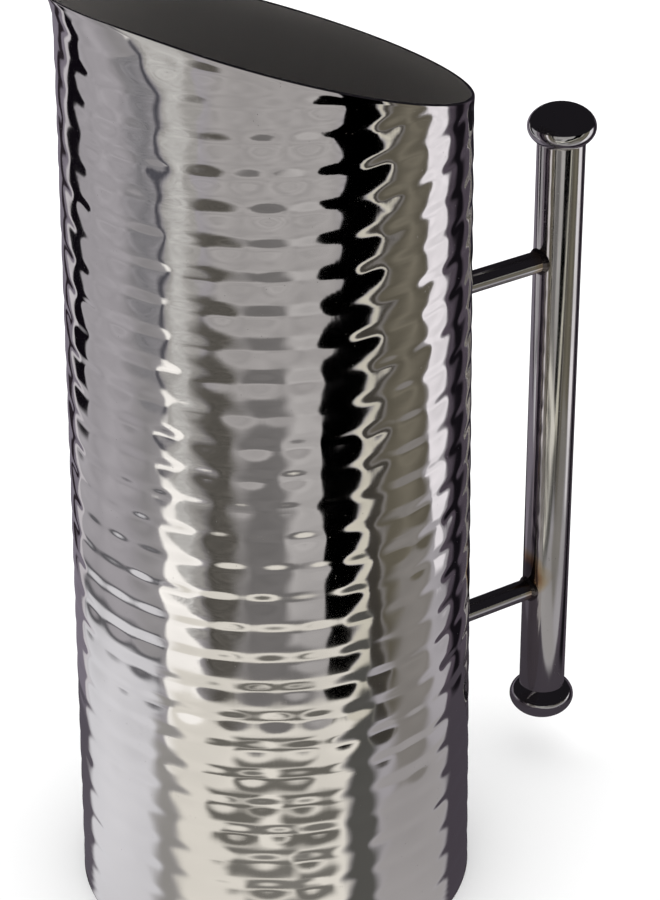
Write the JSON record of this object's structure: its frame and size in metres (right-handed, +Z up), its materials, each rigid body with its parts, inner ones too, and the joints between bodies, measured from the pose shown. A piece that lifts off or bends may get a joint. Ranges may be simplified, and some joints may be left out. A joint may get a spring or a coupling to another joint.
{
  "type": "water pitcher",
  "caption": "Slim hammered steel water pitcher with a slanted mouth, a small pouring lip and a straight tube handle on stand-off rods.",
  "frame": {"origin": "centre of the base on the table, on the body's axis", "axes": "+Z up, +X towards the handle, -X towards the pouring lip"},
  "size_m": [0.1548, 0.104, 0.2553],
  "materials": {
    "hammered_steel": "hammered and mirror polished, with a few soft brushed marks",
    "base_steel": "satin",
    "polished_steel": "polished, with fine lengthwise lines",
    "weld_metal": "cleaned weld bead",
    "fastener_steel": "satin",
    "seal_silicone": "matt translucent"
  },
  "bodies": {
    "root": {"body_wall": "hammered_steel", "base_pan": "base_steel", "base_seam_weld": "weld_metal", "handle_tube": "polished_steel", "upper_end_cap": "polished_steel", "lower_end_cap": "polished_steel", "upper_handle_rod": "polished_steel", "lower_handle_rod": "polished_steel", "upper_rod_weld": "weld_metal", "lower_rod_weld": "weld_metal", "upper_seal_washer": "seal_silicone", "lower_seal_washer": "seal_silicone", "upper_backing_washer": "fastener_steel", "lower_backing_washer": "fastener_steel", "upper_handle_screw": "fastener_steel", "lower_handle_screw": "fastener_steel"}
  },
  "joints": []
}
